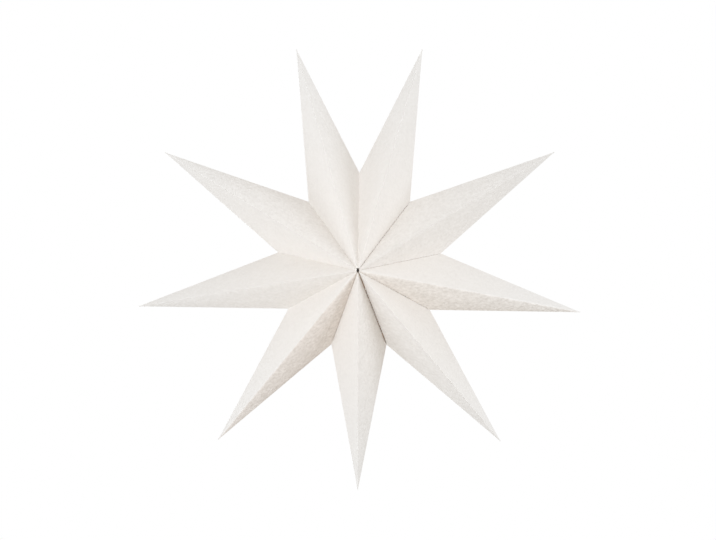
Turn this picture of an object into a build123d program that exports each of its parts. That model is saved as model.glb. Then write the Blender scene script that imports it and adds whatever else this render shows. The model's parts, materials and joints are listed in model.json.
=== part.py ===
"""Nine-point folded paper star with its hanger and lamp, in millimetres, +Z up.

The origin is the mouth of the cord inlet, the point the star hangs from. The front faces -Y.
Each point is four flat paper panels: front left, front right, rear left and rear right.
The left of a point is its anticlockwise side seen from the front, the right its clockwise side.
Panels meet at ridges (hub to tip), valleys (hub to the notch between points) and creases
(tip to notch, in the middle plane). The top valley is the seam, where the star opens and
folds shut like a fan.
"""

import os
from math import cos, radians, sin

from build123d import *

os.makedirs("parts", exist_ok=True)

# Star, measured from its hub
TIP_RADIUS = 304.0
VALLEY_RADIUS = 111.4
HALF_DEPTH = 79.0
# Directions of the nine tips, degrees clockwise from straight up, from the right of the seam
POINT_ANGLES = [16.1, 59.4, 101.5, 141.0, 180.4, 219.2, 259.8, 300.5, 343.9]
# Half the opening of the two end points, whose panels cross the seam plane and are cut there
END_HALF_ANGLE = 20.3
# The star's middle plane lies this far in front of the cord
MIDDLE_Y = -4.0

# Paper
PAPER = 0.8
FOLD_GAP = 0.2
REAR_RIDGE_GAP = 1.5
REAR_VALLEY_GAP = 1.0
HUB_HOLE_RADIUS = 2.6
# The slit behind the notch of the seam, where the cord comes out
CORD_SLIT_HALF_WIDTH = 5.0
CORD_SLIT_LENGTH = 13.5

# Seam flaps and their fastening dots
FLAP_INNER_X = 0.9
FLAP_THICKNESS = 0.8
FLAP_START = 42.0
FLAP_END_BEFORE_NOTCH = 9.0
FLAP_TOP = 0.4
FLAP_BOTTOM = 10.4
DOT_RADIUS = 4.0
DOT_PLACES = (54.0, 88.0)
DOT_INSET = 5.4
DOT_GAP = 0.06

# Hanger strip
HANGER_WIDTH = 13.0
HANGER_THICKNESS = 1.2
HANGER_HALF_SPAN = 15.3
HANGER_ARM_END = 64.0
HANGER_CLEARANCE = 0.15

# Cord inlet nipple and its nut
NIPPLE_RADIUS = 5.0
NIPPLE_BORE_RADIUS = 3.0
NIPPLE_LENGTH = 26.0
NIPPLE_ABOVE_HANGER = 14.8
NUT_ACROSS_FLATS = 14.0
NUT_HEIGHT = 3.0

# Lamp holder
CAP_RADIUS = 13.5
CAP_NECK_RADIUS = 8.0
CAP_SHOULDER_Z = -25.0
CAP_BOTTOM_Z = -34.0
HOLDER_WALL = 1.8
BODY_BOTTOM_Z = -66.0
BODY_MOUTH_RADIUS = 8.6
INSERT_RADIUS = 11.0
INSERT_TOP_Z = -38.0
INSERT_BOTTOM_Z = -44.0
SHELL_INNER_RADIUS = 7.15
SHELL_OUTER_RADIUS = 7.6
SHELL_BOTTOM_Z = -63.0
TERMINAL_X = 6.5
TERMINAL_RADIUS = 2.0

# Bulb
BASE_RADIUS = 6.9
BASE_WALL = 0.4
BASE_TOP_Z = -50.0
BASE_BOTTOM_Z = -71.0
TIP_CONTACT_Z = -46.2
GLOBE_RADIUS = 22.5
GLOBE_Z = -103.0
GLASS_WALL = 0.8
NECK_RADIUS = 6.3
STEM_RADIUS = 2.6
STEM_BOTTOM_Z = -92.0
FILAMENT_COUNT = 4
FILAMENT_RADIUS = 0.9
FILAMENT_TOP_Z = -90.0
FILAMENT_BOTTOM_Z = -115.0
FILAMENT_RING = 5.5
LEAD_RADIUS = 0.35

# Small clearance between pieces that touch
FIT = 0.1


def save(shape, name):
    export_step(shape, f"parts/{name}.step")


def direction(angle):
    """The unit vector of the middle plane at that many degrees clockwise from straight up."""
    turn = radians(angle)
    return Vector(sin(turn), 0, cos(turn))


def seam_notch():
    """Height above the hub where the seam's end panels cross the seam plane."""
    apex = Vector(0, -HALF_DEPTH, 0)
    tip = direction(POINT_ANGLES[0]) * TIP_RADIUS
    valley = direction(POINT_ANGLES[0] - END_HALF_ANGLE) * VALLEY_RADIUS
    normal = (tip - apex).cross(valley - apex)
    return normal.dot(apex) / normal.Z


# The seam line runs from the front apex up to the notch, and the hanger's arms lie under its flaps
NOTCH_HEIGHT = seam_notch()
SEAM = Vector(0, HALF_DEPTH, NOTCH_HEIGHT).normalized()
SEAM_LENGTH = Vector(0, HALF_DEPTH, NOTCH_HEIGHT).length
SEAM_IN = Vector(0, SEAM.Z, -SEAM.Y)
ARM_TOP = FLAP_BOTTOM + HANGER_CLEARANCE
ARM_BOTTOM = ARM_TOP + HANGER_THICKNESS
bend_along = (HALF_DEPTH - HANGER_HALF_SPAN - SEAM_IN.Y * ARM_TOP) / SEAM.Y
HANGER_ABOVE_HUB = SEAM.Z * bend_along + SEAM_IN.Z * ARM_TOP
HANGER_TOP_Z = -NIPPLE_ABOVE_HANGER
HANGER_LOW_Z = HANGER_TOP_Z - HANGER_THICKNESS
CAP_TOP_Z = HANGER_LOW_Z - FIT

HUB = Vector(0, MIDDLE_Y, HANGER_TOP_Z - HANGER_ABOVE_HUB)
APEX = {"front": HUB + Vector(0, -HALF_DEPTH, 0), "rear": HUB + Vector(0, HALF_DEPTH, 0)}
COUNT = len(POINT_ANGLES)
TIPS = [HUB + direction(angle) * TIP_RADIUS for angle in POINT_ANGLES]
VALLEY_ANGLES = (
    [POINT_ANGLES[0] - END_HALF_ANGLE]
    + [(POINT_ANGLES[k] + POINT_ANGLES[k + 1]) / 2 for k in range(COUNT - 1)]
    + [POINT_ANGLES[-1] + END_HALF_ANGLE]
)
VALLEYS = [HUB + direction(angle) * VALLEY_RADIUS for angle in VALLEY_ANGLES]


def valley_of(point, side):
    return VALLEYS[point] if side == "left" else VALLEYS[point + 1]


def outward(point, face, side):
    """The outward normal of one panel."""
    apex = APEX[face]
    normal = (TIPS[point] - apex).cross(valley_of(point, side) - apex).normalized()
    inside = HUB + (TIPS[point] - HUB) * 0.2
    return -normal if normal.dot(inside - apex) > 0 else normal


def trimmed(blank, at, away, gap):
    """The blank without what lies beyond a plane, less half the gap."""
    away = away.normalized()
    return split(blank, bisect_by=Plane(at - away * (gap / 2), z_dir=away), keep=Keep.BOTTOM)


def panel(point, face, side):
    """One flat paper panel, mitred on its folds."""
    apex, tip, valley = APEX[face], TIPS[point], valley_of(point, side)
    normal = outward(point, face, side)
    sheet = Face(Wire.make_polygon([apex, tip, valley], close=True))
    blank = extrude(sheet, amount=PAPER, dir=-normal)

    other_side = "right" if side == "left" else "left"
    ridge = normal - outward(point, face, other_side)
    ridge = -ridge if ridge.dot(valley - apex) > 0 else ridge
    blank = trimmed(blank, apex, ridge, FOLD_GAP if face == "front" else REAR_RIDGE_GAP)

    neighbour = point - 1 if side == "left" else point + 1
    if 0 <= neighbour < COUNT:
        fold = normal - outward(neighbour, face, other_side)
        fold = -fold if fold.dot(tip - apex) > 0 else fold
        gap = FOLD_GAP if face == "front" else REAR_VALLEY_GAP
    else:
        fold = Vector(-1 if side == "left" else 1, 0, 0)
        gap = FOLD_GAP
    blank = trimmed(blank, apex, fold, gap)

    middle = Vector(0, 1 if face == "front" else -1, 0)
    blank = trimmed(blank, tip, middle, FOLD_GAP)

    hole = Cylinder(HUB_HOLE_RADIUS, HALF_DEPTH, rotation=(90, 0, 0))
    blank = blank - Pos(*apex) * hole
    if face == "rear" and not 0 <= neighbour < COUNT:
        to_cord = -1 if side == "left" else 1
        slit_start = Vector(-to_cord * CORD_SLIT_HALF_WIDTH, MIDDLE_Y, 0)
        slit_side = Vector(to_cord * CORD_SLIT_LENGTH, -CORD_SLIT_HALF_WIDTH, 0)
        blank = trimmed(blank, slit_start, slit_side, 0)
    return blank


def on_seam(along, inward, face):
    """A point of the seam plane: along the seam from the hub apex, and inward of it."""
    spot = SEAM * along + SEAM_IN * inward
    side = 1 if face == "front" else -1
    return APEX[face] + Vector(0, side * spot.Y, spot.Z)


def seam_plate(corners, low_x, high_x):
    """A plate across the seam plane, from its outline of points in that plane."""
    outline = Wire.make_polygon([Vector(low_x, c.Y, c.Z) for c in corners], close=True)
    return extrude(Face(outline), amount=high_x - low_x, dir=Vector(1, 0, 0))


def flap(face, side):
    """One arm of the closing flap, folded inwards from the seam edge."""
    end = SEAM_LENGTH - FLAP_END_BEFORE_NOTCH
    corners = [
        on_seam(FLAP_START, FLAP_TOP, face),
        on_seam(end, FLAP_TOP, face),
        on_seam(end, FLAP_BOTTOM, face),
        on_seam(FLAP_START + FLAP_BOTTOM, FLAP_BOTTOM, face),
    ]
    outer = FLAP_INNER_X + FLAP_THICKNESS
    low, high = (FLAP_INNER_X, outer) if side == "right" else (-outer, -FLAP_INNER_X)
    plate = seam_plate(corners, low, high)
    return plate - Cylinder(CAP_RADIUS + 1.0, 200)


def dots(face, side):
    """The fastening dots of one flap arm."""
    thickness = FLAP_INNER_X - DOT_GAP / 2
    middle = (FLAP_INNER_X + DOT_GAP / 2) / 2
    middle = middle if side == "right" else -middle
    made = []
    for place in DOT_PLACES:
        spot = on_seam(place, DOT_INSET, face)
        disc = Cylinder(DOT_RADIUS, thickness, rotation=(0, 90, 0))
        made.append(Pos(middle, spot.Y, spot.Z) * disc)
    return made


def turned(points):
    """A solid turned about the lamp axis from a closed outline of (radius, z) points."""
    outline = make_face(Polyline(*[(r, 0, z) for r, z in points], close=True))
    return revolve(outline, axis=Axis.Z)


# The thirty-six paper panels
for point in range(COUNT):
    for face in ("front", "rear"):
        for side in ("left", "right"):
            save(panel(point, face, side), f"point_{point + 1}_{face}_{side}")

# Seam flaps and fastening dots: the right ones stay with the hanger
save(Compound(children=[flap("front", "right"), flap("rear", "right")]), "seam_flap_right")
save(flap("front", "left"), "seam_flap_front_left")
save(flap("rear", "left"), "seam_flap_rear_left")
save(Compound(children=dots("front", "right") + dots("rear", "right")), "hook_dots")
save(Compound(children=dots("front", "left")), "loop_dots_front")
save(Compound(children=dots("rear", "left")), "loop_dots_rear")

# Hanger: a strip bent to the roof shape of the seam, with the nipple through its middle
half_strip = HANGER_WIDTH / 2


def arm_y(inward, z, face):
    """Where a line parallel to the seam, that far inward, passes the height z."""
    along = (z - HUB.Z - SEAM_IN.Z * inward) / SEAM.Z
    return on_seam(along, inward, face).Y


hanger_outline = [
    on_seam(HANGER_ARM_END, ARM_TOP, "front"),
    Vector(0, arm_y(ARM_TOP, HANGER_TOP_Z, "front"), HANGER_TOP_Z),
    Vector(0, arm_y(ARM_TOP, HANGER_TOP_Z, "rear"), HANGER_TOP_Z),
    on_seam(HANGER_ARM_END, ARM_TOP, "rear"),
    on_seam(HANGER_ARM_END, ARM_BOTTOM, "rear"),
    Vector(0, arm_y(ARM_BOTTOM, HANGER_LOW_Z, "rear"), HANGER_LOW_Z),
    Vector(0, arm_y(ARM_BOTTOM, HANGER_LOW_Z, "front"), HANGER_LOW_Z),
    on_seam(HANGER_ARM_END, ARM_BOTTOM, "front"),
]
hanger = seam_plate(hanger_outline, -half_strip, half_strip)
hanger = hanger - Cylinder(NIPPLE_RADIUS + FIT, 200)
save(hanger, "hanger")

# Cord inlet nipple with its bore open at the top, and the nut that clamps the hanger
nipple = turned(
    [
        (NIPPLE_BORE_RADIUS, -NIPPLE_LENGTH),
        (NIPPLE_RADIUS, -NIPPLE_LENGTH),
        (NIPPLE_RADIUS, -0.6),
        (NIPPLE_RADIUS - 0.6, 0),
        (NIPPLE_BORE_RADIUS, 0),
    ]
)
save(nipple, "cord_inlet_nipple")

nut_low = HANGER_TOP_Z + FIT
nut_outline = RegularPolygon(NUT_ACROSS_FLATS / 2, 6, major_radius=False)
nut = extrude(Pos(0, 0, nut_low) * nut_outline, amount=NUT_HEIGHT)
nut = nut - Cylinder(NIPPLE_RADIUS + FIT, 200)
save(nut, "nipple_nut")

# Lamp holder: cap, body, contact block, screw shell, centre contact and terminal screws
cap = turned(
    [
        (NIPPLE_RADIUS + FIT, CAP_TOP_Z),
        (CAP_NECK_RADIUS, CAP_TOP_Z),
        (CAP_NECK_RADIUS + 1.2, CAP_TOP_Z - 0.8),
        (CAP_RADIUS, CAP_SHOULDER_Z),
        (CAP_RADIUS, CAP_BOTTOM_Z),
        (CAP_RADIUS - HOLDER_WALL, CAP_BOTTOM_Z),
        (CAP_RADIUS - HOLDER_WALL, CAP_SHOULDER_Z - 0.6),
        (CAP_NECK_RADIUS, CAP_TOP_Z - 2.6),
        (NIPPLE_RADIUS + FIT, CAP_TOP_Z - 2.6),
    ]
)
save(cap, "holder_cap")

body_top = CAP_BOTTOM_Z - FIT
body_inner = CAP_RADIUS - HOLDER_WALL
body = turned(
    [
        (body_inner, body_top),
        (CAP_RADIUS, body_top),
        (CAP_RADIUS, body_top - 8),
        (CAP_RADIUS - 0.7, body_top - 8.7),
        (CAP_RADIUS - 1.5, BODY_BOTTOM_Z + 1.0),
        (CAP_RADIUS - 2.5, BODY_BOTTOM_Z),
        (BODY_MOUTH_RADIUS, BODY_BOTTOM_Z),
        (BODY_MOUTH_RADIUS, INSERT_BOTTOM_Z - FIT),
        (body_inner, INSERT_BOTTOM_Z - FIT),
    ]
)
save(body, "holder_body")

insert = turned(
    [
        (0, INSERT_BOTTOM_Z),
        (INSERT_RADIUS, INSERT_BOTTOM_Z),
        (INSERT_RADIUS, INSERT_TOP_Z),
        (0, INSERT_TOP_Z),
    ]
)
save(insert, "contact_block")

shell = turned(
    [
        (SHELL_INNER_RADIUS, SHELL_BOTTOM_Z),
        (SHELL_OUTER_RADIUS, SHELL_BOTTOM_Z),
        (SHELL_OUTER_RADIUS, INSERT_BOTTOM_Z - FIT),
        (SHELL_INNER_RADIUS, INSERT_BOTTOM_Z - FIT),
    ]
)
save(shell, "screw_shell")

contact_top = INSERT_BOTTOM_Z - FIT
contact_low = TIP_CONTACT_Z + FIT
contact_foot = Pos(-3.2, 0, contact_top - 0.25) * Box(3.0, 3.4, 0.5)
contact_post = Pos(-1.95, 0, (contact_top + contact_low) / 2) * Box(0.5, 3.4, contact_top - contact_low)
contact_tongue = Pos(0, 0, contact_low + 0.25) * Box(4.4, 3.4, 0.5)
save(contact_foot + contact_post + contact_tongue, "centre_contact")

screws = []
for side in (-1, 1):
    low = INSERT_TOP_Z + FIT
    head = Pos(side * TERMINAL_X, 0, low + 1.2) * Cylinder(TERMINAL_RADIUS, 2.4)
    slot = Pos(side * TERMINAL_X, 0, low + 2.2) * Box(2 * TERMINAL_RADIUS, 0.7, 0.8)
    screws.append(head - slot)
save(Compound(children=screws), "terminal_screws")

# Bulb: screw base, insulator, tip contact, glass, stem and filaments
base = turned(
    [
        (BASE_RADIUS - BASE_WALL, BASE_BOTTOM_Z),
        (BASE_RADIUS, BASE_BOTTOM_Z),
        (BASE_RADIUS, BASE_TOP_Z - 1.0),
        (BASE_RADIUS - 1.0, BASE_TOP_Z),
        (BASE_RADIUS - 1.0 - BASE_WALL, BASE_TOP_Z),
        (BASE_RADIUS - BASE_WALL, BASE_TOP_Z - 1.2),
    ]
)
save(base, "bulb_base")

insulator = turned(
    [
        (0, BASE_TOP_Z),
        (BASE_RADIUS - 1.0 - BASE_WALL - FIT, BASE_TOP_Z),
        (3.0, TIP_CONTACT_Z - 1.2),
        (0, TIP_CONTACT_Z - 1.2),
    ]
)
save(insulator, "bulb_insulator")

tip_contact = turned(
    [
        (0, TIP_CONTACT_Z - 1.2 + FIT),
        (2.4, TIP_CONTACT_Z - 1.2 + FIT),
        (1.8, TIP_CONTACT_Z),
        (0, TIP_CONTACT_Z),
    ]
)
save(tip_contact, "bulb_tip_contact")


def globe_outline(radius, neck):
    """Half the glass outline: a straight neck that flares into the round globe."""
    top = BASE_BOTTOM_Z + 4.0
    flare = GLOBE_Z + radius * cos(radians(38))
    start = (radius * sin(radians(38)), flare)
    neck_line = Line((neck, 0, top), (neck, 0, BASE_BOTTOM_Z - 1.0))
    shoulder = Spline(
        (neck, 0, BASE_BOTTOM_Z - 1.0),
        (start[0], 0, start[1]),
        tangents=((0, 0, -1), (cos(radians(38)), 0, -sin(radians(38)))),
    )
    side = radians(109)
    ball = ThreePointArc(
        (start[0], 0, start[1]),
        (radius * sin(side), 0, GLOBE_Z + radius * cos(side)),
        (0, 0, GLOBE_Z - radius),
    )
    axis_line = Line((0, 0, GLOBE_Z - radius), (0, 0, top))
    top_line = Line((0, 0, top), (neck, 0, top))
    return make_face([neck_line, shoulder, ball, axis_line, top_line])


outer_glass = revolve(globe_outline(GLOBE_RADIUS, NECK_RADIUS), axis=Axis.Z)
inner_glass = revolve(globe_outline(GLOBE_RADIUS - GLASS_WALL, NECK_RADIUS - GLASS_WALL), axis=Axis.Z)
save(outer_glass - inner_glass, "bulb_glass")

stem = turned(
    [
        (0, STEM_BOTTOM_Z),
        (STEM_RADIUS, STEM_BOTTOM_Z),
        (STEM_RADIUS, BASE_BOTTOM_Z - 3.0),
        (NECK_RADIUS - GLASS_WALL - FIT, BASE_BOTTOM_Z + 3.0),
        (0, BASE_BOTTOM_Z + 3.0),
    ]
)
save(stem, "bulb_stem")

filament_length = FILAMENT_TOP_Z - FILAMENT_BOTTOM_Z
filament_middle = (FILAMENT_TOP_Z + FILAMENT_BOTTOM_Z) / 2
lead_reach = FILAMENT_RING - STEM_RADIUS - FIT
lead_middle = (FILAMENT_RING + STEM_RADIUS + FIT) / 2
filaments = []
for k in range(FILAMENT_COUNT):
    turn = Rot(0, 0, 45 + k * 360 / FILAMENT_COUNT)
    rod = Pos(FILAMENT_RING, 0, filament_middle) * Cylinder(FILAMENT_RADIUS, filament_length)
    lead = Pos(lead_middle, 0, FILAMENT_TOP_Z - 1.0) * Cylinder(LEAD_RADIUS, lead_reach, rotation=(0, 90, 0))
    filaments.append(turn * (rod + lead))
ring = Pos(0, 0, FILAMENT_BOTTOM_Z + 0.6) * Torus(FILAMENT_RING, LEAD_RADIUS)
lit = filaments[0] + filaments[1] + filaments[2] + filaments[3] + ring
save(lit, "led_filaments")
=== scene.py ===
"""Nine-point folded paper star with its lamp inside: the paper, the lamp's finishes, light and camera.

Lengths are in metres, in the part's own frame: +Z up, the front towards -Y.
"""

import json
from math import cos, pi, radians, sin

import bpy
import numpy as np
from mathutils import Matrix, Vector


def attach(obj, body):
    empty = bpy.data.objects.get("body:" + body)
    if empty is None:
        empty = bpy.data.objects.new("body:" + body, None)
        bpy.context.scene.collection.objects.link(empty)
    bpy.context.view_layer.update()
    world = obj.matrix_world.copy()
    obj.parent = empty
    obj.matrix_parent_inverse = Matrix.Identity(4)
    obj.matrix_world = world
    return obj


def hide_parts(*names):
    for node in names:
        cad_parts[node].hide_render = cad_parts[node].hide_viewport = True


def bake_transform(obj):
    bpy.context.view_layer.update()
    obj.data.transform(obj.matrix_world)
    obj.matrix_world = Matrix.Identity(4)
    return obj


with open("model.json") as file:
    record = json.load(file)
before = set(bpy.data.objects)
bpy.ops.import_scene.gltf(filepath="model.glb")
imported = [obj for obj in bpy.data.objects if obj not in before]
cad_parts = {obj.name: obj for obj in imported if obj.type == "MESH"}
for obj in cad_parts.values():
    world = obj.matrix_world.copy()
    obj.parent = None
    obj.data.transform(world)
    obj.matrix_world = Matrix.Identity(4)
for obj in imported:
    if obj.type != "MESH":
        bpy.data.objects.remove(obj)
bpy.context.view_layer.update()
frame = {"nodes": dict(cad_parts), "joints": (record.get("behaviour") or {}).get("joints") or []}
scene = bpy.context.scene
scene.view_settings.view_transform = "Standard"
MM = 0.001

# Paper: its thickness, the width below which a panel thins, and the half width that a tip keeps
PAPER_THICKNESS = 0.55 * MM
THINNED_BELOW = 6.0 * MM
TIP_HALF_WIDTH = 1.0 * MM
# The hole at the hub: a tall oval in front, and hardly open behind
HUB_HOLE_HALF_WIDTH = 1.7 * MM
HUB_HOLE_HALF_HEIGHT = 3.7 * MM
REAR_HUB_HOLE = 0.5 * MM
# Radius along the ridges, two of them rounder than the rest, and where along a ridge it changes
RIDGE_RADIUS_TIP = 0.15 * MM
RIDGE_RADIUS_HUB = 0.4 * MM
SOFT_RIDGES = {3, 6}
SOFT_RADIUS_TIP = 1.5 * MM
SOFT_RADIUS_HUB = 2.5 * MM
ROUND_FROM, ROUND_TO = 0.05, 0.45
# The most of a panel's width that its rounded strip takes
RIDGE_SHARE = 0.45
# Slow waves of the sheet, still near its edges
WAVE_HEIGHT = 0.4 * MM
WAVE_SIZE = 22.0 * MM
WAVE_STILL = 12.0 * MM
WAVE_DETAIL = 2.0
PANEL_SEED = 11.0
# How far a panel bows out between ridge and edge, as a share of its width, and the rounder front ones
PANEL_BOW = 0.005
ROUNDER = {
    (1, "right"): 0.015, (2, "left"): 0.020, (3, "right"): 0.040, (5, "left"): 0.025, (6, "left"): 0.040,
    (7, "left"): 0.035, (7, "right"): 0.015, (8, "right"): 0.045,
}
# The front panels whose fibres show more than on the rest, and the two where they show most, one painted
# darker as shade
ROUGH = {(2, "left"), (2, "right"), (4, "right"), (5, "left"), (7, "left"), (8, "right")}
FELTED = {(3, "right")}
SHADED = {(6, "left")}
# Rows along a panel, those before the notch, columns across, and how much these crowd at both edges
ROWS = 150
ROWS_TO_NOTCH = 64
COLUMNS = 28
CROWDING = 0.09
SHARP_EDGE = radians(50)
# The front valleys, from the seam at the top round to the right, in millimetres: how deep the edges
# roll in, how far that reaches on the point before and on the one after, and the gap between them
FRONT_SEAMS = {
    0: (0.0, 8.0, 8.0, 0.0),
    1: (0.5, 3.0, 3.0, 0.4),
    2: (0.0, 8.0, 4.0, 0.3),
    3: (0.0, 8.0, 3.0, 0.36),
    4: (4.5, 3.0, 8.0, 1.2),
    5: (1.9, 3.0, 9.0, 0.2),
    6: (0.0, 8.0, 3.0, 0.0),
    7: (0.0, 8.0, 8.0, 0.0),
    8: (0.4, 4.0, 3.0, 0.03),
}
REAR_SEAM = (1.0, 4.0, 4.0, 0.0)
SEAM_EDGE = 1.2 * MM
# Over what length from the notch and from the hub the roll and the gap come in
ROLL_FROM_NOTCH, ROLL_FROM_HUB = 9 * MM, 16 * MM
GAP_FROM_NOTCH, GAP_FROM_HUB = 4 * MM, 8 * MM
# The share of the width from the ridge over which the roll comes in
ROLL_OFF_RIDGE = 0.6
# Ties across a valley, of uneven length
TIE_PITCH = 4.4 * MM
TIE_LENGTH = 1.9 * MM
TIE_SHORTEST, TIE_LONGEST = 0.6, 1.3
TIE_THICKNESS = 0.3 * MM
TIE_OVERLAP = 0.8 * MM
TIE_SINK = 0.25 * MM
# Where along a valley the ties begin and end, and how much later and sooner for each millimetre of its dip
TIES_FROM, TIES_LATER = 0.14, 0.03
TIES_TO, TIES_SOONER = 0.97, 0.025
# The strip behind each front valley: where it runs, how fast it widens from the hub, and its fold inwards
GUSSET_FROM, GUSSET_TO = 0.03, 0.985
GUSSET_HALF_WIDTH = 4.0 * MM
GUSSET_WIDENING = 0.25
GUSSET_BELOW = 0.85 * MM
GUSSET_THICKNESS = 0.3 * MM
GROOVE_DEEPEST = 2.5 * MM
GROOVE_PER_GAP = 5.0
GROOVE_HALF_WIDTH = 1.0 * MM
GUSSET_ROWS, GUSSET_COLUMNS = 48, 24
# How far to each side the folds bend the paper
RIDGE_BEND = 1.6 * MM
VALLEY_BEND = 1.0 * MM
# Threads: the share of the rows over each rim, the length of a run-out, and what counts as one place
RIM_SHARE = 0.03
RUN_OUT = 1 * MM
SAME_PLACE = 0.002 * MM
THREAD_COLUMNS = 64
# The slit behind the notch of the seam, where the cord comes out
CORD_SLIT_HALF_WIDTH = 5.0 * MM
CORD_SLIT_LENGTH = 13.5 * MM
NO_CUT = (1.0, 0.0)


class Wiring:
    """A node tree with short calls for its nodes; values may be numbers, vectors or sockets."""

    def __init__(self, name, kind="GeometryNodeTree"):
        self.tree = bpy.data.node_groups.new(name, kind)
        self.inlet = self.tree.nodes.new("NodeGroupInput")
        self.outlet = self.tree.nodes.new("NodeGroupOutput")

    def asks(self, name, kind, value=None):
        socket = self.tree.interface.new_socket(name, in_out="INPUT", socket_type="NodeSocket" + kind)
        if value is not None:
            socket.default_value = value
        return self.inlet.outputs[name]

    def gives(self, name, kind, source):
        self.tree.interface.new_socket(name, in_out="OUTPUT", socket_type="NodeSocket" + kind)
        self.tree.links.new(source, self.outlet.inputs[name])

    def set(self, socket, value):
        if isinstance(value, bpy.types.NodeSocket):
            self.tree.links.new(value, socket)
        else:
            socket.default_value = value

    def node(self, kind, inputs=None, **settings):
        made = self.tree.nodes.new(kind)
        for key, value in settings.items():
            setattr(made, key, value)
        for key, value in (inputs or {}).items():
            self.set(made.inputs[key], value)
        return made

    def math(self, operation, *values, clamp=False):
        made = self.node("ShaderNodeMath", operation=operation, use_clamp=clamp)
        for socket, value in zip(made.inputs, values):
            self.set(socket, value)
        return made.outputs[0]

    def add(self, *values):
        total = values[0]
        for value in values[1:]:
            total = self.math("ADD", total, value)
        return total

    def sub(self, a, b):
        return self.math("SUBTRACT", a, b)

    def mul(self, *values):
        total = values[0]
        for value in values[1:]:
            total = self.math("MULTIPLY", total, value)
        return total

    def div(self, a, b):
        return self.math("DIVIDE", a, b)

    def low(self, *values):
        least = values[0]
        for value in values[1:]:
            least = self.math("MINIMUM", least, value)
        return least

    def high(self, a, b):
        return self.math("MAXIMUM", a, b)

    def fades(self, distance, reach):
        """1 at no distance, falling away over the reach."""
        return self.math("EXPONENT", self.mul(self.div(distance, reach), -1.0))

    def inside(self, to_notch, from_hub, notch_reach, hub_reach):
        """0 at both ends of a valley, rising to 1 between them."""
        off_notch = self.sub(1.0, self.fades(to_notch, notch_reach))
        return self.mul(off_notch, self.sub(1.0, self.fades(from_hub, hub_reach)))

    def hypotenuse(self, a, b):
        return self.math("SQRT", self.add(self.mul(a, a), self.mul(b, b)))

    def span(self, value, from_low, from_high, to_low, to_high):
        names = ("Value", "From Min", "From Max", "To Min", "To Max")
        values = dict(zip(names, (value, from_low, from_high, to_low, to_high)))
        return self.node("ShaderNodeMapRange", values, clamp=True).outputs["Result"]

    def vector(self, operation, *values):
        made = self.node("ShaderNodeVectorMath", operation=operation)
        for socket, value in zip(made.inputs, values):
            self.set(socket, value)
        return made.outputs["Vector"]

    def scaled(self, vector, amount):
        made = self.node("ShaderNodeVectorMath", operation="SCALE")
        self.set(made.inputs["Vector"], vector)
        self.set(made.inputs["Scale"], amount)
        return made.outputs["Vector"]

    def sum(self, *vectors):
        total = vectors[0]
        for vector in vectors[1:]:
            total = self.vector("ADD", total, vector)
        return total

    def parts(self, vector):
        return self.node("ShaderNodeSeparateXYZ", {0: vector}).outputs

    def join(self, x, y, z):
        return self.node("ShaderNodeCombineXYZ", {0: x, 1: y, 2: z}).outputs[0]

    def choose(self, test, when_false, when_true, kind="VECTOR"):
        made = self.node("GeometryNodeSwitch", input_type=kind)
        self.set(made.inputs["Switch"], test)
        self.set(made.inputs["False"], when_false)
        self.set(made.inputs["True"], when_true)
        return made.outputs["Output"]

    def less(self, a, b):
        made = self.node("FunctionNodeCompare", data_type="FLOAT", operation="LESS_THAN")
        self.set(made.inputs[0], a)
        self.set(made.inputs[1], b)
        return made.outputs["Result"]

    def noise(self, where, size, detail):
        """A noise whose patches are about this size."""
        inputs = {"Vector": where, "Scale": self.div(1.0, size), "Detail": detail}
        return self.node("ShaderNodeTexNoise", inputs)

    def sheet(self, rows, columns):
        """A thin box still to be placed, its rows along X and its columns along Y."""
        counts = {"Vertices X": self.add(rows, 1), "Vertices Y": self.add(columns, 1), "Vertices Z": 2}
        return self.node("GeometryNodeMeshCube", {"Size": (1, 1, 1), **counts}).outputs["Mesh"]

    def spot(self):
        return self.parts(self.node("GeometryNodeInputPosition").outputs[0])

    def placed(self, mesh, place):
        return self.node("GeometryNodeSetPosition", {"Geometry": mesh, "Position": place}).outputs[0]

    def flipped(self, mesh, turned):
        return self.node("GeometryNodeFlipFaces", {"Mesh": mesh, "Selection": turned}).outputs[0]

    def smooth(self, mesh):
        made = self.node("GeometryNodeSetShadeSmooth", {"Geometry": mesh, "Shade Smooth": True})
        return made.outputs[0]

    def finished(self, name, geometry, material):
        """The whole tree: its instances made real, and its material set."""
        whole = self.node("GeometryNodeRealizeInstances", {"Geometry": geometry}).outputs[0]
        made = self.node("GeometryNodeSetMaterial", {"Geometry": whole, "Material": material})
        self.gives(name, "Geometry", made.outputs[0])
        return self.tree


def mesh_of(tree, name, values):
    """The plain mesh that a tree makes from these inputs."""
    maker = bpy.data.objects.new(name + "_maker", bpy.data.meshes.new(name + "_start"))
    scene.collection.objects.link(maker)
    modifier = maker.modifiers.new("shape", "NODES")
    modifier.node_group = tree
    for item in tree.interface.items_tree:
        if item.in_out == "INPUT" and item.name in values:
            modifier[item.identifier] = values[item.name]
    graph = bpy.context.evaluated_depsgraph_get()
    mesh = bpy.data.meshes.new_from_object(maker.evaluated_get(graph), depsgraph=graph)
    mesh.name = name
    maker.modifiers.remove(modifier)
    bpy.data.objects.remove(maker)
    return mesh


def piece(name, mesh, body, slot, *nodes, bends=None):
    """A finished piece: it rides its body, or, when it lies across a bend, stays where it was made, and
    stands for its nodes.
    """
    made = bpy.data.objects.new(name, mesh)
    scene.collection.objects.link(made)
    if bends:
        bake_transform(made)
    else:
        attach(made, body)
    if nodes:
        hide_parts(*nodes)
    return made


# The star's lines, read from its folds
folds = {fold["name"]: fold for fold in frame["joints"]}


def place_of(fold):
    return np.array(folds[fold]["pos_m"], dtype=float)


def line_of(fold):
    return np.array(folds[fold]["axis"], dtype=float)


def unit(vector):
    return vector / np.linalg.norm(vector)


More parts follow.
